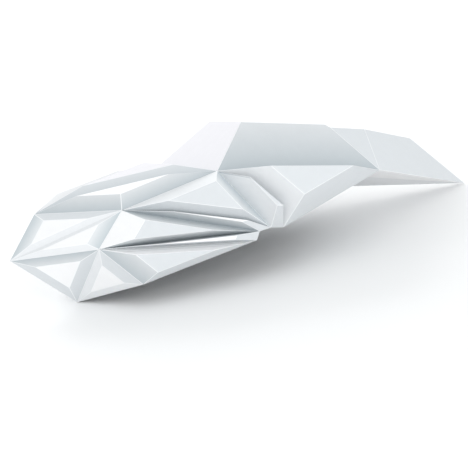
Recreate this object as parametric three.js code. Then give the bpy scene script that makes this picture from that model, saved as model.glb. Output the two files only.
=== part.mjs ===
// A mask of folded white card, open underneath: beak, brow, cheeks, crown and a long tail.
// Millimetres. The mask is laid out level, beak towards -X, its left side towards -Y, +Z up, and is
// then laid down on the three points that it rests on.
import * as THREE from 'three';

// Driving dimensions
const maskLength = 611; // beak's nose tip to tail tip
const halfWidth = 117; // centre plane to the rim behind the temple
const maskHeight = 211; // chin tip to crown
const wall = 1.6; // card, with its glued flaps
const seam = 0.3; // gap between neighbouring panels
const boxLift = 53; // how far the proudest boxed panel, the wing, stands off its base
const plateauShare = 0.5; // flat top of a boxed panel against its base
const cardColor = 0xf2f4f8; // white, a little cool

// Corners that the panels meet at, as shares of maskLength, halfWidth and maskHeight.
// A corner with out = 0 lies on the centre plane, every other one has a twin on the other side.
const corners = {
  noseTip: { along: 0, out: 0, up: 0.24 },
  noseTop: { along: 0.05, out: 0, up: 0.495 },
  chinTip: { along: 0.138, out: 0, up: 0 },
  cheekPoint: { along: 0.13, out: 0.66, up: 0.314 },
  browPoint: { along: 0.175, out: 0.68, up: 0.524 },
  crownFoot: { along: 0.369, out: 0.73, up: 0.733 },
  jawPoint: { along: 0.213, out: 0.75, up: 0.119 },
  rimTop: { along: 0.458, out: 1, up: 0.421 },
  rimMiddle: { along: 0.434, out: 1, up: 0.402 },
  rimLow: { along: 0.428, out: 1, up: 0.353 },
  finFoot: { along: 0.485, out: 1, up: 0.421 },
  wingTip: { along: 0.703, out: 0.92, up: 0.728 },
  crownFront: { along: 0.453, out: 0.37, up: 1 },
  crownRear: { along: 0.624, out: 0.505, up: 0.984 },
  crownStep: { along: 0.634, out: 0.525, up: 0.967 },
  tailShoulder: { along: 0.714, out: 0.49, up: 0.956 },
  tailBend: { along: 0.857, out: 0.13, up: 0.898 },
  tailTip: { along: 1, out: 0, up: 0.627 },
  chine: { along: 0.653, out: 0.55, up: 0.695 },
  keelFoot: { along: 0.66, out: 0, up: 0.617 },
};

// Boxed panels: a triangle of corners, counterclockwise from outside on the left side, whose middle
// stands off by a share of boxLift.
const boxedPanels = {
  snout_upper: { base: ['noseTop', 'noseTip', 'browPoint'], lift: 0.05 },
  snout_lower: { base: ['noseTip', 'cheekPoint', 'browPoint'], lift: 0.06 },
  beak_front: { base: ['noseTip', 'chinTip', 'cheekPoint'], lift: 0.03 },
  beak_side: { base: ['chinTip', 'jawPoint', 'cheekPoint'], lift: 0.04 },
  brow: { base: ['noseTop', 'browPoint', 'crownFoot'], lift: 0.26 },
  temple: { base: ['browPoint', 'rimTop', 'crownFoot'], lift: 0.48 },
  pleat_upper: { base: ['browPoint', 'rimMiddle', 'rimTop'], lift: 0.27 },
  cheek_upper: { base: ['browPoint', 'cheekPoint', 'rimMiddle'], lift: 0.43 },
  pleat_lower: { base: ['cheekPoint', 'rimLow', 'rimMiddle'], lift: 0.39 },
  cheek_lower: { base: ['cheekPoint', 'jawPoint', 'rimLow'], lift: 0.31 },
  fin: { base: ['crownFoot', 'rimTop', 'finFoot'], lift: 0.7 },
  wing: { base: ['crownFoot', 'finFoot', 'wingTip'], lift: 1 },
};

// Flat panels of each side, counterclockwise from outside on the left side.
const flatPanels = {
  crown_side: ['crownFoot', 'wingTip', 'crownStep', 'crownRear', 'crownFront'],
  tail_root: ['wingTip', 'tailShoulder', 'crownStep'],
  tail_wing: ['wingTip', 'tailTip', 'tailBend', 'tailShoulder'],
  tail_under: ['wingTip', 'chine', 'tailTip'],
  tail_keel: ['chine', 'keelFoot', 'tailTip'],
  wing_under: ['finFoot', 'chine', 'wingTip'],
  nape: ['finFoot', 'keelFoot', 'chine'],
};

// Panels that cross the centre plane: the left corners in order, from front to back or back to front,
// so that the twins close the outline.
const middlePanels = {
  crown_front: ['crownFoot', 'crownFront'],
  crown_top: ['crownFront', 'crownRear'],
  crown_back: ['crownRear', 'crownStep'],
  tail_top: ['crownStep', 'tailShoulder'],
  tail_slope: ['tailShoulder', 'tailBend'],
  tail_end: ['tailBend', 'tailTip'],
};
const crest = { base: ['noseTop', 'crownFoot'], lift: 0.3 };

// Points that carry the mask when it lies on a table: chin, tail tip and the jaw of one side.
const restsOn = ['chinTip_right', 'tailTip_right', 'jawPoint_right'];

const sides = { left: -1, right: 1 };

function cornerPoint(name, side) {
  const c = corners[name];
  return new THREE.Vector3(c.along * maskLength, sides[side] * c.out * halfWidth, c.up * maskHeight);
}

// The key of a corner: one on the centre plane is the same for both sides.
function cornerKey(name, side) {
  return corners[name].out === 0 ? `${name}_right` : `${name}_${side}`;
}

function faceNormal(points) {
  const normal = new THREE.Vector3();
  for (let i = 0; i < points.length; i++) {
    normal.add(new THREE.Vector3().crossVectors(points[i], points[(i + 1) % points.length]));
  }
  return normal.normalize();
}

// Every panel as a name, its corner keys counterclockwise from outside, and its lift.
function listPanels() {
  const list = [];
  const add = (name, keys, lift) => list.push({ name, keys, lift });
  for (const side of Object.keys(sides)) {
    const order = (names) => {
      const keys = names.map((n) => cornerKey(n, side));
      return side === 'left' ? keys : flipped(keys);
    };
    for (const [name, panel] of Object.entries(boxedPanels)) {
      add(`${name}_${side}`, order(panel.base), panel.lift * boxLift);
    }
    for (const [name, base] of Object.entries(flatPanels)) add(`${name}_${side}`, order(base), 0);
  }
  const across = (names) => {
    const left = names.map((n) => cornerKey(n, 'left'));
    const right = names.map((n) => cornerKey(n, 'right')).reverse();
    return [...new Set([...left, ...right])];
  };
  add('crest', across(crest.base), crest.lift * boxLift);
  for (const [name, base] of Object.entries(middlePanels)) add(name, across(base), 0);
  return list;
}

function cornerPoints() {
  const points = {};
  for (const side of Object.keys(sides)) {
    for (const name of Object.keys(corners)) points[cornerKey(name, side)] = cornerPoint(name, side);
  }
  return points;
}

// Inner twin of each corner: the point that lies one wall under all the panels that meet there,
// found by least squares, with a little damping for nearly flat corners.
function innerPoints(panels, points) {
  const damping = 0.02;
  const inner = {};
  for (const [key, point] of Object.entries(points)) {
    const e = new Array(9).fill(0);
    const sum = new THREE.Vector3();
    for (const panel of panels) {
      if (!panel.keys.includes(key)) continue;
      const n = panel.normal.toArray();
      for (let i = 0; i < 9; i++) e[i] += n[Math.floor(i / 3)] * n[i % 3];
      sum.addScaledVector(panel.normal, wall);
    }
    for (let d = 0; d < 3; d++) e[4 * d] += damping;
    const depth = sum.applyMatrix3(new THREE.Matrix3().set(...e).invert());
    inner[key] = point.clone().sub(depth);
  }
  return inner;
}

// For each edge of an outline, the direction that points into the outline.
function inwards(points, normal) {
  return points.map((p, i) => {
    const edge = points[(i + 1) % points.length].clone().sub(p).normalize();
    return new THREE.Vector3().crossVectors(normal, edge);
  });
}

// Shift of each corner of an outline that moves all its edges inwards by half a seam.
function seamShifts(points, normal) {
  const inward = inwards(points, normal);
  return points.map((_, i) => {
    const a = inward[(i + points.length - 1) % points.length];
    const b = inward[i];
    return a.clone().add(b).multiplyScalar((seam / 2) / (1 + a.dot(b)));
  });
}

// A face seen from its other side. It keeps its first corner, so that the fan keeps its folds.
function flipped(face) {
  return [face[0], ...face.slice(1).reverse()];
}

function planeThrough(a, b, c) {
  return new THREE.Plane().setFromCoplanarPoints(a, b, c);
}

// The point that three planes share.
function planesMeet(p, q, r) {
  const bc = new THREE.Vector3().crossVectors(q.normal, r.normal);
  const ca = new THREE.Vector3().crossVectors(r.normal, p.normal);
  const ab = new THREE.Vector3().crossVectors(p.normal, q.normal);
  const sum = bc.multiplyScalar(-p.constant)
    .addScaledVector(ca, -q.constant)
    .addScaledVector(ab, -r.constant);
  return sum.divideScalar(p.normal.dot(new THREE.Vector3().crossVectors(q.normal, r.normal)));
}

function sunk(plane, depth) {
  return new THREE.Plane(plane.normal.clone(), plane.constant + depth);
}

// Radius of the circle inside a triangle, negative where the triangle is turned over.
function innerRadius(points, normal) {
  const [a, b, c] = points;
  const area = new THREE.Vector3().crossVectors(b.clone().sub(a), c.clone().sub(a)).dot(normal);
  return area / (a.distanceTo(b) + b.distanceTo(c) + c.distanceTo(a));
}

// Hollow under a boxed panel: the planes of its top and borders, each one wall deeper, and a mouth in
// the panel's inner face. A panel too narrow for that stays solid.
function hollow(outer, top, inner) {
  const borders = outer.map((p, i) => sunk(planeThrough(p, outer[(i + 1) % 3], top[i]), wall));
  const roofPlane = sunk(planeThrough(...top), wall);
  const floorPlane = planeThrough(...inner);
  const corner = (i, plane) => planesMeet(plane, borders[i], borders[(i + 2) % 3]);
  const roof = top.map((_, i) => corner(i, roofPlane));
  const mouth = inner.map((_, i) => corner(i, floorPlane));
  // A gentle border meets the inner face outside the panel, so the mouth keeps a lip inside it.
  const normal = floorPlane.normal;
  const lip = wall / 2;
  const edges = inwards(inner, normal).map((inward, i) => {
    const ends = [mouth[i], mouth[(i + 1) % 3]];
    const reach = Math.min(...ends.map((m) => m.clone().sub(inner[i]).dot(inward)));
    const from = inner[i].clone().addScaledVector(inward, Math.max(reach, lip));
    return new THREE.Plane().setFromNormalAndCoplanarPoint(inward, from);
  });
  const rim = inner.map((_, i) => planesMeet(floorPlane, edges[i], edges[(i + 2) % 3]));
  const roomy = innerRadius(roof, normal) > wall && innerRadius(rim, normal) > wall;
  const above = roof.every((p) => floorPlane.distanceToPoint(p) > wall / 2);
  return roomy && above ? { rim, roof } : null;
}

// A closed mesh from faces, each a fan of points.
function meshOf(name, faces) {
  const position = [];
  for (const face of faces) {
    for (let i = 1; i + 1 < face.length; i++) {
      for (const p of [face[0], face[i], face[i + 1]]) position.push(p.x, p.y, p.z);
    }
  }
  const geometry = new THREE.BufferGeometry();
  geometry.setAttribute('position', new THREE.Float32BufferAttribute(position, 3));
  geometry.computeVertexNormals();
  const material = new THREE.MeshStandardMaterial({ color: cardColor, roughness: 0.75, metalness: 0 });
  const mesh = new THREE.Mesh(geometry, material);
  mesh.name = name;
  return mesh;
}

// Faces that join two outlines edge by edge, first outline on the outside.
function band(from, to) {
  return from.map((p, i) => {
    const j = (i + 1) % from.length;
    return [p, from[j], to[j], to[i]];
  });
}

// The cut edge of a panel. Both panels at a seam fold it along the same diagonal, so that they run parallel.
function cutEdge(keys, under, outer) {
  return band(under, outer).map(([a, b, c, d], i) => (
    keys[i] < keys[(i + 1) % keys.length] ? [a, b, c, d] : [b, c, d, a]
  ));
}

function panelMesh(panel, points, inner) {
  const base = panel.keys.map((k) => points[k]);
  const shifts = seamShifts(base, panel.normal);
  const outer = base.map((p, i) => p.clone().add(shifts[i]));
  const under = panel.keys.map((k, i) => inner[k].clone().add(shifts[i]));
  const faces = cutEdge(panel.keys, under, outer);
  if (panel.lift === 0) {
    faces.push(outer, flipped(under));
    return meshOf(panel.name, faces);
  }
  const middle = base[0].clone().add(base[1]).add(base[2]).divideScalar(3);
  const rise = panel.normal.clone().multiplyScalar(panel.lift);
  const top = base.map((p) => middle.clone().lerp(p, plateauShare).add(rise));
  faces.push(...band(outer, top), top);
  const room = hollow(outer, top, under);
  if (room) {
    for (const [a, b] of [[under, room.rim], [room.rim, room.roof]]) {
      faces.push(...band(a, b).map(flipped));
    }
    faces.push(flipped(room.roof));
  } else {
    faces.push(flipped(under));
  }
  return meshOf(panel.name, faces);
}

const points = cornerPoints();
const panels = listPanels();
for (const panel of panels) panel.normal = faceNormal(panel.keys.map((k) => points[k]));
const inner = innerPoints(panels, points);

const mask = new THREE.Group();
for (const panel of panels) mask.add(panelMesh(panel, points, inner));

// Lay the mask down on its three resting points, and put the middle of its footprint at the origin.
const table = planeThrough(...restsOn.map((k) => points[k])).normal;
if (table.z < 0) table.negate();
mask.quaternion.setFromUnitVectors(table, new THREE.Vector3(0, 0, 1));
mask.updateMatrixWorld(true);
const box = new THREE.Box3().setFromObject(mask, true);
mask.position.set(-(box.min.x + box.max.x) / 2, -(box.min.y + box.max.y) / 2, -box.min.z);

const group = new THREE.Group();
group.add(mask);
export default group;
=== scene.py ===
# A mask of folded white card around its plain solids: one folded skin of card for each panel, the
# card's material, and the studio stage. Metres, in the frame of the solids.
import math

import bpy
import numpy as np
from mathutils import Matrix, Vector


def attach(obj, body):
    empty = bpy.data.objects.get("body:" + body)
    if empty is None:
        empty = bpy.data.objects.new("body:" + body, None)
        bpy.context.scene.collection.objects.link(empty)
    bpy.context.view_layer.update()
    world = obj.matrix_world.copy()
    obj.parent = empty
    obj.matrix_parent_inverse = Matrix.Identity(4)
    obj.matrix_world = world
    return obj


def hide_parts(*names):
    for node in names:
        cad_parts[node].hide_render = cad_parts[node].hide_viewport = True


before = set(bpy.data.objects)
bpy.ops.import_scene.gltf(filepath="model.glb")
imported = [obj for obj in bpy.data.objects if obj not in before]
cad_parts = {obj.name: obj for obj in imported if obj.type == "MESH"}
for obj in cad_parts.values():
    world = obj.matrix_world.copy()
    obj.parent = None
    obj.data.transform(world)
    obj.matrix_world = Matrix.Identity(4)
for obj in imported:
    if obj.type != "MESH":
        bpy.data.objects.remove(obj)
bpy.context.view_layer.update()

bl_info = {
    "name": "Folded card mask",
    "version": (1, 0, 0),
    "blender": (4, 5, 0),
    "location": "3D View > Sidebar > Card Mask",
    "description": "Builds a mask of folded white card and its studio stage",
    "category": "Add Mesh",
}

# Corners that the panels meet at, as shares of the mask's length, half width and height. A corner
# with out = 0 lies on the centre plane, and every other one has a twin on the other side.
CORNERS = {
    "nose_tip": {"along": 0, "out": 0, "up": 0.24},
    "nose_top": {"along": 0.05, "out": 0, "up": 0.495},
    "chin_tip": {"along": 0.138, "out": 0, "up": 0},
    "cheek_point": {"along": 0.13, "out": 0.66, "up": 0.314},
    "brow_point": {"along": 0.175, "out": 0.68, "up": 0.524},
    "crown_foot": {"along": 0.369, "out": 0.73, "up": 0.733},
    "jaw_point": {"along": 0.213, "out": 0.75, "up": 0.119},
    "rim_top": {"along": 0.458, "out": 1, "up": 0.421},
    "rim_middle": {"along": 0.434, "out": 1, "up": 0.402},
    "rim_low": {"along": 0.428, "out": 1, "up": 0.353},
    "fin_foot": {"along": 0.485, "out": 1, "up": 0.421},
    "wing_tip": {"along": 0.703, "out": 0.92, "up": 0.728},
    "crown_front": {"along": 0.453, "out": 0.37, "up": 1},
    "crown_rear": {"along": 0.624, "out": 0.505, "up": 0.984},
    "crown_step": {"along": 0.634, "out": 0.525, "up": 0.967},
    "tail_shoulder": {"along": 0.714, "out": 0.49, "up": 0.956},
    "tail_bend": {"along": 0.857, "out": 0.13, "up": 0.898},
    "tail_tip": {"along": 1, "out": 0, "up": 0.627},
    "chine": {"along": 0.653, "out": 0.55, "up": 0.695},
    "keel_foot": {"along": 0.66, "out": 0, "up": 0.617},
}

# Boxed panels of each side: three corners, counterclockwise from outside on the left side, how far
# the flat top stands off, as a share of the box lift, and the card's shade on the top and on the
# border along each edge, which is painted light and shade: lighter and darker copies of one white
# card. The border with the number under creased has two fine creases painted at its foot, in lines
# of painted shade and painted highlight.
BOXED = {
    "snout_upper": {
        "base": ("nose_top", "nose_tip", "brow_point"), "lift": 0.05,
        "top": "white", "borders": ("soft_grey", "pale", "plain")},
    "snout_lower": {
        "base": ("nose_tip", "cheek_point", "brow_point"), "lift": 0.06,
        "top": "white", "borders": ("pale", "soft_grey", "pale")},
    "beak_front": {
        "base": ("nose_tip", "chin_tip", "cheek_point"), "lift": 0.03,
        "top": "white", "borders": ("plain", "plain", "grey")},
    "beak_side": {
        "base": ("chin_tip", "jaw_point", "cheek_point"), "lift": 0.04,
        "top": "white", "borders": ("pale", "plain", "pale")},
    "brow": {
        "base": ("nose_top", "brow_point", "crown_foot"), "lift": 0.26,
        "top": "white", "borders": ("grey", "grey", "plain")},
    "temple": {
        "base": ("brow_point", "rim_top", "crown_foot"), "lift": 0.48,
        "top": "plain", "borders": ("plain", "soft_grey", "pale")},
    "pleat_upper": {
        "base": ("brow_point", "rim_middle", "rim_top"), "lift": 0.27,
        "top": "white", "borders": ("grey", "plain", "grey")},
    "cheek_upper": {
        "base": ("brow_point", "cheek_point", "rim_middle"), "lift": 0.43,
        "top": "plain", "borders": ("white", "grey", "grey"), "creased": 3},
    "pleat_lower": {
        "base": ("cheek_point", "rim_low", "rim_middle"), "lift": 0.39,
        "top": "white", "borders": ("plain", "plain", "grey")},
    "cheek_lower": {
        "base": ("cheek_point", "jaw_point", "rim_low"), "lift": 0.31,
        "top": "plain", "borders": ("grey", "plain", "white"), "creased": 3},
    "fin": {
        "base": ("crown_foot", "rim_top", "fin_foot"), "lift": 0.7,
        "top": "plain", "borders": ("pale", "plain", "plain")},
    "wing": {
        "base": ("crown_foot", "fin_foot", "wing_tip"), "lift": 1,
        "top": "plain", "borders": ("pale", "plain", "plain")},
}

# Flat panels of each side: corners, counterclockwise from outside on the left side, and shade,
# which is painted light and shade as on the boxed panels.
FLAT = {
    "crown_side": {
        "outline": ("crown_foot", "wing_tip", "crown_step", "crown_rear", "crown_front"),
        "shade": "grey"},
    "tail_root": {"outline": ("wing_tip", "tail_shoulder", "crown_step"), "shade": "plain"},
    "tail_wing": {
        "outline": ("wing_tip", "tail_tip", "tail_bend", "tail_shoulder"),
        "shade": "plain"},
    "tail_under": {"outline": ("wing_tip", "chine", "tail_tip"), "shade": "white"},
    "tail_keel": {"outline": ("chine", "keel_foot", "tail_tip"), "shade": "pale"},
    "wing_under": {"outline": ("fin_foot", "chine", "wing_tip"), "shade": "plain"},
    "nape": {"outline": ("fin_foot", "keel_foot", "chine"), "shade": "plain"},
}

# Panels that cross the centre plane: their left corners in order, which the right ones close, and
# their lift and shades of painted light and shade as above.
MIDDLE = {
    "crest": {
        "base": ("nose_top", "crown_foot"), "lift": 0.3,
        "top": "lilac", "borders": ("plain", "plain", "plain")},
    "crown_front": {"base": ("crown_foot", "crown_front"), "lift": 0, "top": "lilac"},
    "crown_top": {"base": ("crown_front", "crown_rear"), "lift": 0, "top": "plain"},
    "crown_back": {"base": ("crown_rear", "crown_step"), "lift": 0, "top": "plain"},
    "tail_top": {"base": ("crown_step", "tail_shoulder"), "lift": 0, "top": "plain"},
    "tail_slope": {"base": ("tail_shoulder", "tail_bend"), "lift": 0, "top": "plain"},
    "tail_end": {"base": ("tail_bend", "tail_tip"), "lift": 0, "top": "plain"},
}

# Painted light and shade of the right side's brow, whose border along the crest is painted as
# white as the lit tops.
FAR_BROW = {"top": "white", "borders": ("grey", "grey", "white")}

# The three corners that the mask lies on.
RESTS_ON = ("chin_tip_right", "tail_tip_right", "jaw_point_right")

# Panels with a thinner skin, which stays clear of their neighbours and of the floor, and that
# skin's share of the card's thickness.
THIN = ("pleat_upper", "pleat_lower", "fin", "beak_side", "tail_wing", "tail_end")
THIN_SHARE = 0.4

# A facet's corner is drawn in by at most this many folds, and by this share of its shorter edge.
CORNER_FOLDS = 2.5
CORNER_SHARE = 0.2

# Steps across each half of a bend, and how far a rounded tip stands out from its folds' ends
# towards the sharp corner.
BEND_STEPS = 3
TIP_SHARE = 0.25

# How far the card turns at a fold, in radians, over 0 on a ridge and under 0 in a valley. Between
# the first pair of turns a fold goes from no painted highlight to a full fibre bruise and painted
# highlight, and between the second from full painted valley shade to none.
HIGHLIGHT_TURNS = (-0.8, -0.55)
VALLEY_SHADE_TURNS = (-1, -0.2)

# The valley fold between the temple and the fin, which gets a painted highlight as light as a
# ridge's.
LIT_VALLEY = {"crown_foot", "rim_top"}

# Shades that get no painted valley shade, and how much of a valley's painted shade a border's foot
# takes in the other shades, apart from the greys.
NO_VALLEY_SHADE = ("white", "pale", "lilac")
FOOT_SHARE = 0.6

# Weights that the skin carries for its material, which place the fibre bruise and painted highlight
# on folds, the painted valley shade and the painted crease lines, and how strongly large faces keep
# it looking flat.
WEIGHTS = ("fold", "depth", "crease")
FLATNESS = 90

# Painted tones across a creased border, from its top at 0 to its foot at 1: each dark line of
# painted shade has a line of painted highlight beside it.
CREASE_SHADE_AND_HIGHLIGHTS = ((0.42, 1), (0.5, 0.8), (0.57, 1.1), (0.66, 1), (0.74, 0.8), (0.81, 1.08))

# Grain of the card, in cells of noise per metre: clouds of pulp, the tooth of the surface, and
# fibres that are longest along one turned axis.
CLOUD_SCALE = 90
TOOTH_SCALE = 1400
FIBRE_SCALE = (160, 900, 500)
FIBRE_TURN = (0.4, 0.3, 0.6)

# The camera is placed in the mask's own level frame, before the mask is laid down: turned from its
# left side towards the beak, and raised, about the point that it looks at. The lens is given in
# widths of the sensor.
CAMERA_AIM = (0.2889, 0, 0.0755)
CAMERA_TURN = math.radians(26)
CAMERA_RISE = math.radians(3)
CAMERA_DISTANCE = 3.2
CAMERA_REACH = 100
SENSOR_WIDTH = 36
LENS_WIDTHS = 5.675

# The stage: how far the floor reaches, the colour of the even light all round, and two square soft
# lights of one size, at one distance from the point that they look at.
FLOOR_REACH = 30
SKY_COLOUR = (0.97, 0.99, 1, 1)
LIGHT_AIM = (0, 0, 0.08)
LIGHT_DISTANCE = 2.5
LIGHT_SIZE = 1.5
KEY_FROM = (0, -1, 0.3)
FAR_FROM = (0, 1, 0.5)


class MaskSizes(bpy.types.PropertyGroup):
    """Driving sizes of the mask"""

    length: bpy.props.FloatProperty(
        name="Length", description="Beak tip to tail tip", default=0.611, unit="LENGTH")
    half_width: bpy.props.FloatProperty(
        name="Half width", description="Centre plane to the rim behind the temple",
        default=0.117, unit="LENGTH")
    height: bpy.props.FloatProperty(
        name="Height", description="Chin tip to crown", default=0.211, unit="LENGTH")
    box_lift: bpy.props.FloatProperty(
        name="Box lift", description="How far the wing's flat middle stands off its base",
        default=0.053, unit="LENGTH")
    plateau_share: bpy.props.FloatProperty(
        name="Plateau share", description="Flat middle of a boxed panel against its base",
        default=0.5, subtype="FACTOR", min=0.1, max=0.9)
    card: bpy.props.FloatProperty(
        name="Card", description="Thickness of the card", default=0.001, unit="LENGTH")
    fold: bpy.props.FloatProperty(
        name="Fold", description="Card on each side of a fold that the bend takes up",
        default=0.0009, unit="LENGTH")


class MaskColours(bpy.types.PropertyGroup):
    """Colours of the mask and its stage"""

    # Painted light: the card as bright as it shows where it is lit most.
    white: bpy.props.FloatVectorProperty(
        name="White", description="The whitest card, on the flat tops of the beak and the brow",
        size=3, subtype="COLOR", default=(0.92, 0.92, 0.925), min=0, max=1)
    # Painted shade: the card a step under its most lit tone.
    pale: bpy.props.FloatVectorProperty(
        name="Pale", description="Card that is a shade under white", size=3, subtype="COLOR",
        default=(0.81, 0.825, 0.84), min=0, max=1)
    plain: bpy.props.FloatVectorProperty(
        name="Plain", description="The mask's usual card, white and a little cool", size=3,
        subtype="COLOR", default=(0.685, 0.71, 0.73), min=0, max=1)
    # Painted shade: pale card that also gets painted valley shade along its whole foot.
    soft_grey: bpy.props.FloatVectorProperty(
        name="Soft grey", description="Pale card that is dulled along its whole foot", size=3,
        subtype="COLOR", default=(0.775, 0.80, 0.815), min=0, max=1)
    # Painted shade: the card at its most shaded.
    grey: bpy.props.FloatVectorProperty(
        name="Grey", description="The greyest card, on the crown's sides and beside deep folds",
        size=3, subtype="COLOR", default=(0.675, 0.695, 0.71), min=0, max=1)
    # Painted light: the card's lit tone with a lilac cast.
    lilac: bpy.props.FloatVectorProperty(
        name="Lilac", description="Card with a lilac cast, on the crown's front and the crest",
        size=3, subtype="COLOR", default=(0.755, 0.745, 0.775), min=0, max=1)
    # Painted valley shade: the share of its colour that card keeps in a sharp valley fold.
    valley: bpy.props.FloatVectorProperty(
        name="Valley", description="Share of its shade that card keeps in a sharp valley fold",
        size=3, subtype="COLOR", default=(0.72, 0.765, 0.785), min=0, max=1)
    # Fibre bruise along a ridge, and a painted highlight where light catches the fold.
    fold: bpy.props.FloatVectorProperty(
        name="Fold", description="Bruised fibres along a ridge", size=3, subtype="COLOR",
        default=(0.93, 0.94, 0.95), min=0, max=1)
    floor: bpy.props.FloatVectorProperty(
        name="Floor", description="Studio floor", size=3, subtype="COLOR",
        default=(0.94, 0.94, 0.94), min=0, max=1)
    sky: bpy.props.FloatProperty(
        name="Sky", description="Strength of the even light all round", default=0.89, min=0)
    key: bpy.props.FloatProperty(
        name="Key", description="Power of the large soft light on the mask's left, in watts",
        default=18, min=0)
    far: bpy.props.FloatProperty(
        name="Far", description="Power of the large soft light on the mask's far side, in watts",
        default=28, min=0)


def sizes():
    """The mask's driving sizes."""
    return bpy.context.scene.mask_sizes


def colours():
    """The colours of the mask and its stage."""
    return bpy.context.scene.mask_colours


def corner_key(name, side):
    """The corner's name and side, where a corner on the centre plane has one key for both sides."""
    return name + "_" + ("right" if CORNERS[name]["out"] == 0 else side)


def level_corners():
    """Every corner in the mask's own level frame, with the beak towards -X and its left towards -Y.

    A corner is (along * length, out * half width, up * height), with out negative on the left side.
    """
    s = sizes()
    scale = np.array([s.length, s.half_width, s.height])
    found = {}
    for side, sign in (("left", -1), ("right", 1)):
        for name, c in CORNERS.items():
            found[corner_key(name, side)] = scale * (c["along"], sign * c["out"], c["up"])
    return found


def panel_rows():
    """Name, corner keys, lift, shades of painted light and shade, and creased border of every
    panel.

    Seen from outside, the keys run counterclockwise. On the right side all but the first are turned
    round for that, and the shades of the borders with them. A creased border of 0 means none.
    """
    lift = sizes().box_lift
    rows = []
    for side in ("left", "right"):
        boxed = {**BOXED, "brow": {**BOXED["brow"], **FAR_BROW}} if side == "right" else BOXED
        sided = [
            (n, p["base"], p["lift"], (p["top"], *p["borders"]), p.get("creased", 0))
            for n, p in boxed.items()
        ]
        sided += [(n, p["outline"], 0, (p["shade"],), 0) for n, p in FLAT.items()]
        for name, base, share, shades, creased in sided:
            keys = [corner_key(c, side) for c in base]
            if side == "right":
                keys = keys[:1] + keys[:0:-1]
                shades = shades[:1] + shades[:0:-1]
                creased = creased and len(keys) + 1 - creased
            rows.append((f"{name}_{side}", keys, share * lift, shades, creased))
    for name, p in MIDDLE.items():
        left = [corner_key(c, "left") for c in p["base"]]
        right = [corner_key(c, "right") for c in reversed(p["base"])]
        shades = (p["top"], *p.get("borders", ()))
        rows.append((name, list(dict.fromkeys(left + right)), p["lift"] * lift, shades, 0))
    return rows


def unit(v):
    """The vectors divided by their lengths."""
    return v / np.linalg.norm(v, axis=-1, keepdims=True)


def face_normal(points):
    """Mean normal of an outline: the unit sum of its neighbouring points' cross products."""
    return unit(np.cross(points, np.roll(points, -1, 0)).sum(0))


def resting_turn(corners):
    """The shortest turn, as a 3 by 3 array, that makes the plane of the resting corners level."""
    a, b, c = (corners[k] for k in RESTS_ON)
    normal = unit(np.cross(b - a, c - a))
    normal = normal * np.sign(normal[2])
    return np.array(Vector(normal).rotation_difference(Vector((0, 0, 1))).to_matrix())


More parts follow.
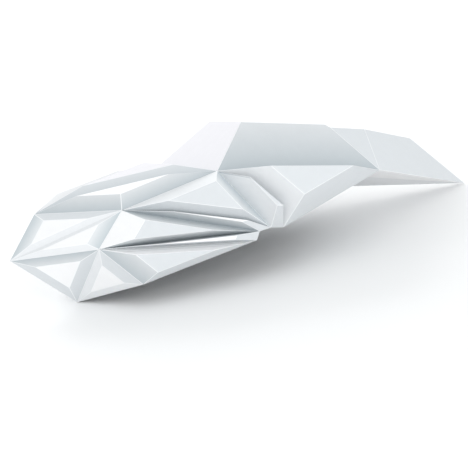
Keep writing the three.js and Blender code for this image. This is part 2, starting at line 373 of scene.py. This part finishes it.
class Skin:
    """The mask's outer skin: named points, flat facets between them, and the bend along each fold.

    The level mask is turned onto its resting corners, and moved so that the middle of its footprint
    is at the origin.
    """

    def __init__(self):
        level = level_corners()
        turn = resting_turn(level)
        self.points = {k: turn @ p for k, p in level.items()}
        self.facets = []
        for row in panel_rows():
            self.add_panel(*row)
        every = np.array(list(self.points.values()))
        low, high = every.min(0), every.max(0)
        self.shift = -np.array([(low[0] + high[0]) / 2, (low[1] + high[1]) / 2, low[2]])
        self.turn = turn
        self.points = {k: p + self.shift for k, p in self.points.items()}
        self.inset()

    def add_panel(self, name, keys, lift, shades, creased):
        """Adds a flat panel's one facet, or a boxed panel's top and borders.

        A boxed panel has two rings of points. The outer ring is the outline. The inner ring bounds
        the top, and is centre + share * (outline - centre) + lift * normal.
        """
        facet = {"panel": name, "keys": keys, "part": "flat", "shade": shades[0], "creased": False}
        if lift == 0:
            self.facets.append(facet)
            return
        base = np.array([self.points[k] for k in keys])
        centre = base.mean(0)
        top = centre + sizes().plateau_share * (base - centre) + lift * face_normal(base)
        tops = [f"{name}.{k}" for k in keys]
        self.points.update(zip(tops, top))
        self.facets.append({**facet, "keys": tops, "part": "top"})
        for i in range(len(keys)):
            j = (i + 1) % len(keys)
            ring = [keys[i], keys[j], tops[j], tops[i]]
            border = {"keys": ring, "part": "border", "shade": shades[i + 1]}
            self.facets.append({**facet, **border, "creased": creased == i + 1})

    def inset(self):
        """Draws each facet in from its folds by the card that they take up.

        A corner moves by fold * (a + b) / (1 + a . b), where a and b point inwards from its two
        edges, and less where that would be far. Beside holds the facet of each edge by its corners.
        """
        fold = sizes().fold
        self.beside = {}
        for facet in self.facets:
            p = np.array([self.points[k] for k in facet["keys"]])
            ahead = np.roll(p, -1, 0) - p
            length = np.linalg.norm(ahead, axis=1)
            inward = np.cross(face_normal(p), unit(ahead))
            before = np.roll(inward, 1, 0)
            share = fold / (1 + (before * inward).sum(1))
            offset = (before + inward) * share[:, None]
            shorter = np.minimum(length, np.roll(length, 1))
            reach = np.minimum(CORNER_FOLDS * fold, CORNER_SHARE * shorter)
            size = np.linalg.norm(offset, axis=1)
            facet["points"] = p
            facet["inset"] = p + offset * np.minimum(1, reach / size)[:, None]
            for i, key in enumerate(facet["keys"]):
                other = facet["keys"][(i + 1) % len(p)]
                self.beside[(key, other)] = (facet, i)

    def bends(self, facet):
        """For each edge of a facet, its own half of the bend, as pairs of points across the fold.

        Across the fold the bend is the parabola (1-t)^2 P + 2t(1-t) E + t^2 Q with t from 0 to 1/2,
        where P and Q are the two facets' inset edges and E is the sharp edge. At a free edge the
        skin goes straight on to E.
        """
        t = np.linspace(0, 0.5, BEND_STEPS + 1)[:, None, None]
        m = len(facet["keys"])
        halves = []
        for i in range(m):
            j = (i + 1) % m
            own = facet["inset"][[i, j]]
            edge = facet["points"][[i, j]]
            found = self.beside.get((facet["keys"][j], facet["keys"][i]))
            if found is None:
                halves.append(own + 2 * t * (edge - own))
                continue
            other, k = found
            far = other["inset"][[(k + 1) % len(other["keys"]), k]]
            halves.append((1 - t) ** 2 * own + 2 * t * (1 - t) * edge + t ** 2 * far)
        return halves

    def fold_turns(self, facet):
        """How far the card turns at each edge, in radians: over 0 on a ridge, under 0 in a valley.

        It is the angle from the facet's normal to its neighbour's, about the edge.
        """
        normal = face_normal(facet["points"])
        turns = np.zeros(len(facet["keys"]))
        for i, key in enumerate(facet["keys"]):
            j = (i + 1) % len(turns)
            found = self.beside.get((facet["keys"][j], key))
            if found:
                other = face_normal(found[0]["points"])
                along = unit(facet["points"][j] - facet["points"][i])
                turns[i] = math.atan2(np.cross(normal, other) @ along, normal @ other)
        return turns

    def tips(self):
        """The rounded tip at each point: mean + share * (point - mean), of its folds' ends.

        A point on a free edge stays sharp.
        """
        ends = {}
        free = set()
        for facet in self.facets:
            halves = self.bends(facet)
            for i, key in enumerate(facet["keys"]):
                after = facet["keys"][(i + 1) % len(halves)]
                ends.setdefault(key, []).append(halves[i][-1, 0])
                if (after, key) not in self.beside:
                    free.update((key, after))
        tips = {}
        for key, found in ends.items():
            mean = np.mean(found, 0)
            share = 1 if key in free else TIP_SHARE
            tips[key] = mean + share * (self.points[key] - mean)
        return tips


def bruises_and_highlights(facet, turns):
    """Bruise and painted highlight of each edge of a facet: 1 on a ridge, a free edge and the lit
    valley.

    It falls to 0 as any other valley grows sharp.
    """
    bruised_and_lit = np.interp(turns, HIGHLIGHT_TURNS, (0, 1))
    names = [key.rsplit("_", 1)[0] for key in facet["keys"]]
    for i, name in enumerate(names):
        if {name, names[(i + 1) % len(names)]} == LIT_VALLEY:
            bruised_and_lit[i] = 1
    return bruised_and_lit


def valley_depths(facet, turns):
    """How much painted shade each corner of a facet gets: 1 in a sharp valley fold, 0 on a ridge.

    On a border only the two corners at its foot get painted shade, and in the greys they always get
    all of it. White, pale and lilac card gets no painted valley shade. A flat panel's corner takes
    the deeper of its two edges, and a boxed top is bounded by ridges.
    """
    valley = np.interp(turns, VALLEY_SHADE_TURNS, (1, 0))
    if facet["shade"] in NO_VALLEY_SHADE:
        return np.zeros(len(valley))
    if facet["part"] == "border":
        foot = 1 if "grey" in facet["shade"] else FOOT_SHARE * valley[0]
        return np.array([foot, foot, 0, 0])
    return np.maximum(valley, np.roll(valley, 1))


def panel_surface(skin, tips, name):
    """The faces of one panel's skin, each as its points, the weights of each point, and its painted
    light and shade.

    Each facet gives its flat inset polygon, a half bend along every edge, and a fan about each tip.
    The fold weight, which places the fibre bruise and painted highlight, rises over the half bend,
    from 0 on flat card to the edge's highlight. The depth weight, which places the painted
    valley shade, is 1 in a sharp valley. The crease weight, which places the painted crease lines,
    falls from 1 at the foot of a creased border to 0 at its top.
    """
    faces = []
    for facet in (f for f in skin.facets if f["panel"] == name):
        halves = skin.bends(facet)
        m = len(halves)
        steps = len(halves[0])
        rise = np.linspace(0, 1, steps)
        turns = skin.fold_turns(facet)
        bruised_and_lit = bruises_and_highlights(facet, turns)
        deep = valley_depths(facet, turns)
        shade = tuple(getattr(colours(), facet["shade"]))
        crease = np.array([1, 1, 0, 0]) if facet["creased"] else np.zeros(m)
        faces.append((facet["inset"], np.zeros(m), deep, crease, shade))
        for i, half in enumerate(halves):
            j = (i + 1) % m
            for t in range(steps - 1):
                strip = np.array([half[t, 0], half[t + 1, 0], half[t + 1, 1], half[t, 1]])
                rising = bruised_and_lit[i] * rise[[t, t + 1, t + 1, t]]
                faces.append((strip, rising, deep[[i, i, j, j]], crease[[i, i, j, j]], shade))
        for i, key in enumerate(facet["keys"]):
            before = (i + m - 1) % m
            arc = np.concatenate([halves[i][:0:-1, 0], halves[before][:, 1]])
            rising = np.concatenate([bruised_and_lit[i] * rise[:0:-1], bruised_and_lit[before] * rise])
            for k in range(len(arc) - 1):
                fan = np.array([tips[key], arc[k], arc[k + 1]])
                fanned = np.array([rising.max(), rising[k], rising[k + 1]])
                faces.append((fan, fanned, deep[[i, i, i]], crease[[i, i, i]], shade))
    return faces


def card_mesh(name, surface):
    """A mesh of the given faces, with their weights and shade.

    Points that agree to a micrometre are merged, and a face that falls to a line is left out.
    """
    loops = np.concatenate([face[0] for face in surface])
    _, first, index = np.unique(
        np.round(loops * 1e6).astype(np.int64), axis=0, return_index=True, return_inverse=True)
    starts = np.cumsum([len(face[0]) for face in surface])[:-1]
    rings = [list(dict.fromkeys(ring.tolist())) for ring in np.split(index.ravel(), starts)]
    kept = [i for i, ring in enumerate(rings) if len(ring) > 2]
    mesh = bpy.data.meshes.new(name)
    mesh.from_pydata(loops[first].tolist(), [], [rings[i] for i in kept])
    for column, title in enumerate(WEIGHTS, 1):
        values = np.concatenate([face[column] for face in surface])[first]
        weights = mesh.attributes.new(title, "FLOAT", "POINT")
        weights.data.foreach_set("value", values.astype(np.float32))
    shades = np.array([(*surface[i][4], 1) for i in kept], np.float32)
    coloured = mesh.attributes.new("shade", "FLOAT_COLOR", "FACE")
    coloured.data.foreach_set("color", shades.ravel())
    mesh.polygons.foreach_set("use_smooth", np.ones(len(mesh.polygons), bool))
    mesh.update()
    return mesh


def add_card(skin, tips, node, material):
    """The folded skin of one panel, thickened inwards, in place of the plain solid."""
    mesh = card_mesh(node + "_card", panel_surface(skin, tips, node))
    piece = bpy.data.objects.new(node + "_card", mesh)
    bpy.context.scene.collection.objects.link(piece)
    mesh.materials.append(material)
    thick = piece.modifiers.new("card thickness", "SOLIDIFY")
    thick.thickness = sizes().card * (THIN_SHARE if node.startswith(THIN) else 1)
    thick.offset = -1
    flat = piece.modifiers.new("flat panels", "WEIGHTED_NORMAL")
    flat.mode = "FACE_AREA"
    flat.weight = FLATNESS
    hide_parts(node)
    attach(piece, "root")
    return piece


def node_group(name, inputs, outputs):
    """An empty shader group with the named sockets, and its input and output nodes."""
    group = bpy.data.node_groups.new(name, "ShaderNodeTree")
    for title, kind, default in inputs:
        socket = group.interface.new_socket(title, in_out="INPUT", socket_type=kind)
        socket.default_value = default
    for title, kind in outputs:
        group.interface.new_socket(title, in_out="OUTPUT", socket_type=kind)
    return group, group.nodes.new("NodeGroupInput"), group.nodes.new("NodeGroupOutput")


def noise(nodes, scale, detail, distortion=0):
    """A noise texture of the given scale, detail and distortion."""
    texture = nodes.new("ShaderNodeTexNoise")
    texture.inputs["Scale"].default_value = scale
    texture.inputs["Detail"].default_value = detail
    texture.inputs["Distortion"].default_value = distortion
    return texture


def maths(nodes, link, operation, *terms):
    """The result of a math node, whose terms are sockets or numbers."""
    node = nodes.new("ShaderNodeMath")
    node.operation = operation
    for term, socket in zip(terms, node.inputs):
        if isinstance(term, bpy.types.NodeSocket):
            link(term, socket)
        else:
            socket.default_value = term
    return node.outputs[0]


def card_grain_group():
    """Grain of matte card: cloudy pulp in its tone, short fibres and a fine tooth in its height.

    The tone is 1 + Formation * (clouds - 0.5), and the height is 0.6 * fibres + Tooth * tooth.
    """
    group, inside, out = node_group(
        "card grain",
        [("Formation", "NodeSocketFloat", 0.03), ("Tooth", "NodeSocketFloat", 0.5)],
        [("Tone", "NodeSocketFloat"), ("Height", "NodeSocketFloat")],
    )
    nodes = group.nodes
    link = group.links.new
    where = nodes.new("ShaderNodeTexCoord")
    clouds = noise(nodes, CLOUD_SCALE, detail=4)
    tooth = noise(nodes, TOOTH_SCALE, detail=3)
    fibres = noise(nodes, 1, detail=2, distortion=0.8)
    stretch = nodes.new("ShaderNodeMapping")
    stretch.inputs["Scale"].default_value = FIBRE_SCALE
    stretch.inputs["Rotation"].default_value = FIBRE_TURN
    for reader in (clouds, tooth, stretch):
        link(where.outputs["Object"], reader.inputs["Vector"])
    link(stretch.outputs["Vector"], fibres.inputs["Vector"])
    centred = maths(nodes, link, "SUBTRACT", clouds.outputs["Fac"], 0.5)
    tone = maths(nodes, link, "MULTIPLY_ADD", centred, inside.outputs["Formation"], 1)
    rough = maths(nodes, link, "MULTIPLY", tooth.outputs["Fac"], inside.outputs["Tooth"])
    height = maths(nodes, link, "MULTIPLY_ADD", fibres.outputs["Fac"], 0.6, rough)
    link(tone, out.inputs["Tone"])
    link(height, out.inputs["Height"])
    return group


def tint(nodes, link, blend, under, over):
    """A mix node that blends the colour over the socket's colour, by its factor."""
    mix = nodes.new("ShaderNodeMix")
    mix.data_type = "RGBA"
    mix.blend_type = blend
    link(under, mix.inputs["A"])
    mix.inputs["B"].default_value = (*over, 1)
    return mix


def card_material():
    """Matte card: each facet's painted light and shade, painted shade in valleys, crease lines of
    painted shade and highlight, and a fibre bruise with a painted highlight on ridges.
    """
    material = bpy.data.materials.new("white card")
    material.use_nodes = True
    nodes = material.node_tree.nodes
    link = material.node_tree.links.new
    shader = nodes["Principled BSDF"]
    shader.inputs["Specular IOR Level"].default_value = 0.25
    shader.inputs["Sheen Weight"].default_value = 0.08
    shader.inputs["Sheen Roughness"].default_value = 0.6
    grain = nodes.new("ShaderNodeGroup")
    grain.node_tree = card_grain_group()
    grain.inputs["Formation"].default_value = 0.05
    grain.inputs["Tooth"].default_value = 0.6
    crisp = nodes.new("ShaderNodeMapRange")
    crisp.inputs["From Min"].default_value = 0.25
    crisp.inputs["From Max"].default_value = 0.9
    marks = {}
    for mark in (*WEIGHTS, "shade"):
        marks[mark] = nodes.new("ShaderNodeAttribute")
        marks[mark].attribute_name = mark
    link(marks["fold"].outputs["Fac"], crisp.inputs["Value"])
    # Painted valley shade: the facet's colour multiplied by the valley colour, by the depth weight.
    dulled = tint(nodes, link, "MULTIPLY", marks["shade"].outputs["Color"], colours().valley)
    link(marks["depth"].outputs["Fac"], dulled.inputs["Factor"])
    # Painted crease lines: dark lines of painted shade, each with a painted highlight beside it.
    scored = tint(nodes, link, "MULTIPLY", dulled.outputs["Result"], (1, 1, 1))
    scored.inputs["Factor"].default_value = 1
    lines = nodes.new("ShaderNodeValToRGB")
    lines.color_ramp.elements[0].color = (1, 1, 1, 1)
    for place, tone in CREASE_SHADE_AND_HIGHLIGHTS:
        lines.color_ramp.elements.new(place).color = (tone, tone, tone, 1)
    link(marks["crease"].outputs["Fac"], lines.inputs["Fac"])
    link(lines.outputs["Color"], scored.inputs["B"])
    # Fibre bruise and painted highlight along ridges, free edges and the lit valley.
    bruised_and_lit = tint(nodes, link, "MIX", scored.outputs["Result"], colours().fold)
    link(crisp.outputs["Result"], bruised_and_lit.inputs["Factor"])
    grained = tint(nodes, link, "MULTIPLY", bruised_and_lit.outputs["Result"], (1, 1, 1))
    grained.inputs["Factor"].default_value = 1
    link(grain.outputs["Tone"], grained.inputs["B"])
    link(grained.outputs["Result"], shader.inputs["Base Color"])
    rough = nodes.new("ShaderNodeMapRange")
    rough.inputs["To Min"].default_value = 0.62
    rough.inputs["To Max"].default_value = 0.85
    link(crisp.outputs["Result"], rough.inputs["Value"])
    link(rough.outputs["Result"], shader.inputs["Roughness"])
    bump = nodes.new("ShaderNodeBump")
    bump.inputs["Strength"].default_value = 0.25
    bump.inputs["Distance"].default_value = 0.0002
    link(grain.outputs["Height"], bump.inputs["Height"])
    link(bump.outputs["Normal"], shader.inputs["Normal"])
    return material


def build_panels(names):
    """Adds the folded skin of every panel whose name starts with one of the given words."""
    material = bpy.data.materials.get("white card") or card_material()
    skin = Skin()
    tips = skin.tips()
    built = [
        add_card(skin, tips, name, material)
        for name, *_ in panel_rows()
        if name.startswith(names)
    ]
    if not built:
        raise RuntimeError(f"no panel of the mask is named {names}")
    return {"FINISHED"}


class MASK_OT_beak(bpy.types.Operator):
    """Build the beak's eight boxed panels, around the nose tip and the chin tip"""

    bl_idname = "mask.beak"
    bl_label = "Beak"

    def execute(self, context):
        return build_panels(("snout", "beak"))


class MASK_OT_brow(bpy.types.Operator):
    """Build the brow's boxed panels and the crest between them"""

    bl_idname = "mask.brow"
    bl_label = "Brow and crest"

    def execute(self, context):
        return build_panels(("brow", "crest"))


class MASK_OT_cheeks(bpy.types.Operator):
    """Build the temples, the cheeks and the pleats between them"""

    bl_idname = "mask.cheeks"
    bl_label = "Temples and cheeks"

    def execute(self, context):
        return build_panels(("temple", "cheek", "pleat"))


class MASK_OT_wings(bpy.types.Operator):
    """Build the fins, the wings, and the panels under and behind them"""

    bl_idname = "mask.wings"
    bl_label = "Fins and wings"

    def execute(self, context):
        return build_panels(("fin", "wing", "nape"))


class MASK_OT_crown(bpy.types.Operator):
    """Build the raised crown"""

    bl_idname = "mask.crown"
    bl_label = "Crown"

    def execute(self, context):
        return build_panels(("crown",))


class MASK_OT_tail(bpy.types.Operator):
    """Build the long pointed tail"""

    bl_idname = "mask.tail"
    bl_label = "Tail"

    def execute(self, context):
        return build_panels(("tail",))


def add_floor():
    """A level square of matte floor under the mask."""
    material = bpy.data.materials.new("studio floor")
    material.use_nodes = True
    shader = material.node_tree.nodes["Principled BSDF"]
    shader.inputs["Base Color"].default_value = (*colours().floor, 1)
    shader.inputs["Roughness"].default_value = 0.9
    mesh = bpy.data.meshes.new("floor")
    corners = np.array([(-1, -1, 0), (1, -1, 0), (1, 1, 0), (-1, 1, 0)]) * FLOOR_REACH
    mesh.from_pydata(corners.tolist(), [], [(0, 1, 2, 3)])
    mesh.materials.append(material)
    floor = bpy.data.objects.new("floor", mesh)
    bpy.context.scene.collection.objects.link(floor)


def add_light(name, direction, watts):
    """A square soft light at aim + distance * direction, which looks back at the aim."""
    data = bpy.data.lights.new(name, "AREA")
    data.shape = "SQUARE"
    data.size = LIGHT_SIZE
    data.energy = watts
    light = bpy.data.objects.new(name, data)
    bpy.context.scene.collection.objects.link(light)
    back = Vector(direction).normalized()
    light.location = Vector(LIGHT_AIM) + back * LIGHT_DISTANCE
    light.rotation_mode = "QUATERNION"
    light.rotation_quaternion = (-back).to_track_quat("-Z", "Y")


def add_camera():
    """Places the camera about the level mask, and turns it with the mask as that is laid down.

    It stands at aim + distance * back, where back is (-sin a cos e, -cos a cos e, sin e) with a the
    turn and e the rise.
    """
    skin = Skin()
    a, e = CAMERA_TURN, CAMERA_RISE
    back = np.array([-math.sin(a) * math.cos(e), -math.cos(a) * math.cos(e), math.sin(e)])
    right = np.array([math.cos(a), -math.sin(a), 0])
    axes = skin.turn @ np.stack([right, np.cross(back, right), back], 1)
    eye = skin.turn @ (np.array(CAMERA_AIM) + CAMERA_DISTANCE * back) + skin.shift
    data = bpy.data.cameras.new("camera")
    data.sensor_width = SENSOR_WIDTH
    data.lens = SENSOR_WIDTH * LENS_WIDTHS
    data.clip_end = CAMERA_REACH
    camera = bpy.data.objects.new("camera", data)
    bpy.context.scene.collection.objects.link(camera)
    camera.rotation_mode = "QUATERNION"
    camera.rotation_quaternion = Matrix(axes.tolist()).to_quaternion()
    camera.location = Vector(eye)
    bpy.context.scene.camera = camera


class MASK_OT_stage(bpy.types.Operator):
    """Build the floor, the lights and the camera"""

    bl_idname = "mask.stage"
    bl_label = "Studio stage"

    def execute(self, context):
        add_floor()
        add_light("key", KEY_FROM, colours().key)
        add_light("far", FAR_FROM, colours().far)
        world = bpy.data.worlds.new("studio")
        world.use_nodes = True
        sky = world.node_tree.nodes["Background"]
        sky.inputs["Color"].default_value = SKY_COLOUR
        sky.inputs["Strength"].default_value = colours().sky
        context.scene.world = world
        context.scene.view_settings.view_transform = "Standard"
        add_camera()
        return {"FINISHED"}


# The operators, in the order in which they build.
PIECES = (
    MASK_OT_beak,
    MASK_OT_brow,
    MASK_OT_cheeks,
    MASK_OT_wings,
    MASK_OT_crown,
    MASK_OT_tail,
    MASK_OT_stage,
)


class MASK_PT_panel(bpy.types.Panel):
    """Lists the mask's sizes, its pieces and the stage"""

    bl_idname = "MASK_PT_panel"
    bl_label = "Card Mask"
    bl_space_type = "VIEW_3D"
    bl_region_type = "UI"
    bl_category = "Card Mask"

    def draw(self, context):
        layout = self.layout
        for group in (context.scene.mask_sizes, context.scene.mask_colours):
            for name in group.__annotations__:
                layout.prop(group, name)
        for operator in PIECES:
            layout.operator(operator.bl_idname)


CLASSES = (MaskSizes, MaskColours, *PIECES, MASK_PT_panel)


def register():
    """Registers the classes, and gives the scene its sizes and colours."""
    for cls in CLASSES:
        bpy.utils.register_class(cls)
    bpy.types.Scene.mask_sizes = bpy.props.PointerProperty(type=MaskSizes)
    bpy.types.Scene.mask_colours = bpy.props.PointerProperty(type=MaskColours)


def unregister():
    """Takes back what register did, in the opposite order."""
    del bpy.types.Scene.mask_colours
    del bpy.types.Scene.mask_sizes
    for cls in reversed(CLASSES):
        bpy.utils.unregister_class(cls)


def main():
    """Builds the pieces and the stage."""
    register()
    bpy.ops.mask.beak()
    bpy.ops.mask.brow()
    bpy.ops.mask.cheeks()
    bpy.ops.mask.wings()
    bpy.ops.mask.crown()
    bpy.ops.mask.tail()
    bpy.ops.mask.stage()


if __name__ == "__main__":
    main()
